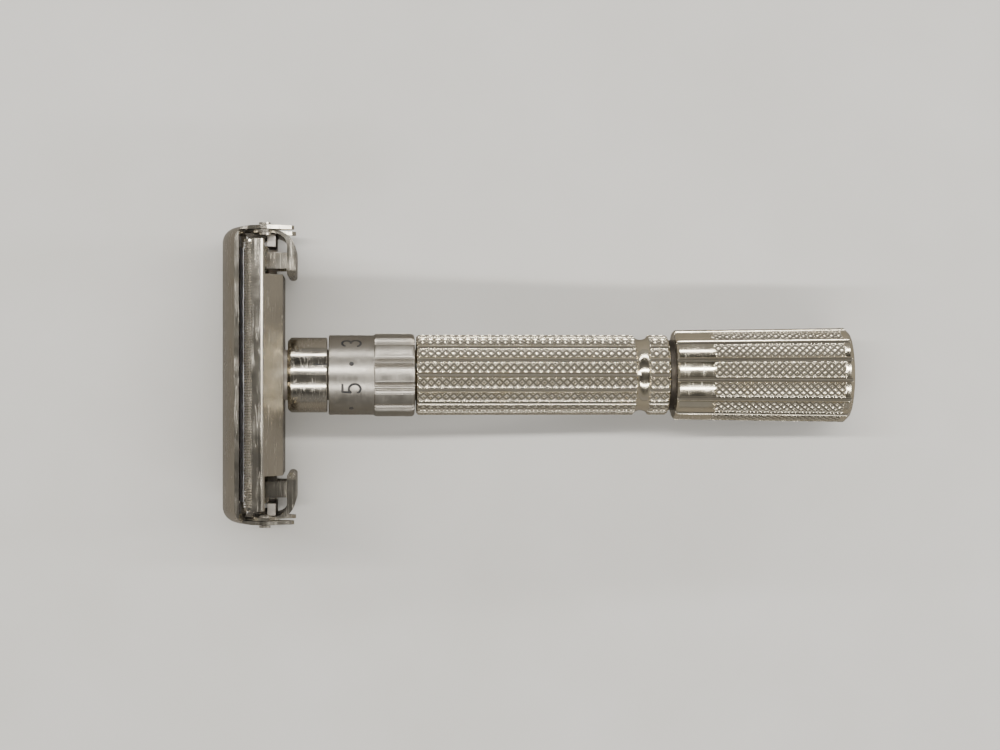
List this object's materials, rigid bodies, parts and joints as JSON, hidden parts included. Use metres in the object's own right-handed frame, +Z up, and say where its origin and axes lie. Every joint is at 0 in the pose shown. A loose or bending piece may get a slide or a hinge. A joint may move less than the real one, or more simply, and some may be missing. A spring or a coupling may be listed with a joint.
{
  "type": "safety razor",
  "caption": "Twist-to-open adjustable safety razor: hinged doors over a double-edged blade, a numbered blade-gap dial and a knurled handle with a turning knob.",
  "frame": {"origin": "under the middle of the razor, on the surface it lies on", "axes": "+X runs from the head to the knob, nearly along the handle, +Y along the blade, +Z up; the handle rises about 4.5 degrees from knob to head"},
  "size_m": [0.0952, 0.0448, 0.0254],
  "materials": {
    "nickel_plate": "bright nickel plate, lightly scratched",
    "nickel_satin": "nickel plate with fine lines round the dial",
    "brass": "turned brass",
    "pin_steel": "plain turned steel",
    "spring_steel": "dark drawn spring wire",
    "blade_steel": "ground blade steel with bright edges"
  },
  "bodies": {
    "handle": {"handle_tube": "nickel_plate", "thrust_washer": "pin_steel", "bottom_bushing": "brass", "inner_barrel": "brass", "neck_collar": "nickel_plate", "detent_ball": "pin_steel", "detent_spring": "spring_steel", "blade_platform": "nickel_plate", "end_cap_rear": "nickel_plate", "end_cap_front": "nickel_plate", "hinge_pins": "pin_steel", "blade": "blade_steel"},
    "knob": {"knob": "nickel_plate", "knob_end_cap": "nickel_plate", "drive_spindle": "brass", "retaining_ring": "spring_steel"},
    "drive_rod": {"drive_rod": "pin_steel", "door_carrier": "nickel_plate", "driver_pins": "pin_steel"},
    "upper_door": {"door_upper": "nickel_plate"},
    "lower_door": {"door_lower": "nickel_plate"},
    "dial": {"dial": "nickel_satin", "guard_spring": "spring_steel"},
    "guard": {"guard": "nickel_plate", "guard_legs": "nickel_plate"}
  },
  "joints": [
    {"name": "knob_turn", "type": "hinge", "parent": "handle", "child": "knob", "pos_m": [0.03529, 0, 0.00788], "axis": [0.9981, 0, -0.0622], "range_deg": [0, 450]},
    {"name": "rod_lift", "type": "slide", "parent": "handle", "child": "drive_rod", "axis": [-0.9981, 0, 0.0622], "range_m": [0, 0.00261]},
    {"name": "upper_door_swing", "type": "hinge", "parent": "handle", "child": "upper_door", "pos_m": [-0.04033, 0, 0.02281], "axis": [0, 1, 0], "range_deg": [0, 85.1]},
    {"name": "lower_door_swing", "type": "hinge", "parent": "handle", "child": "lower_door", "pos_m": [-0.0416, 0, 0.00245], "axis": [0, 1, 0], "range_deg": [-85.1, 0]},
    {"name": "dial_turn", "type": "hinge", "parent": "handle", "child": "dial", "pos_m": [-0.0246, 0, 0.01161], "axis": [-0.9981, 0, 0.0622], "range_deg": [-108, 180]},
    {"name": "guard_travel", "type": "slide", "parent": "handle", "child": "guard", "axis": [-0.9981, 0, 0.0622], "range_m": [-0.00051, 0.00031], "deforming": ["guard_spring"]}
  ],
  "couplings": [
    {"joint": "rod_lift", "follows": "knob_turn", "m_per_rad": 0.00033104},
    {"joint": "upper_door_swing", "follows": "knob_turn", "ratio": 0.18889},
    {"joint": "lower_door_swing", "follows": "knob_turn", "ratio": -0.18889},
    {"joint": "guard_travel", "follows": "dial_turn", "m_per_rad": -0.00015915}
  ]
}
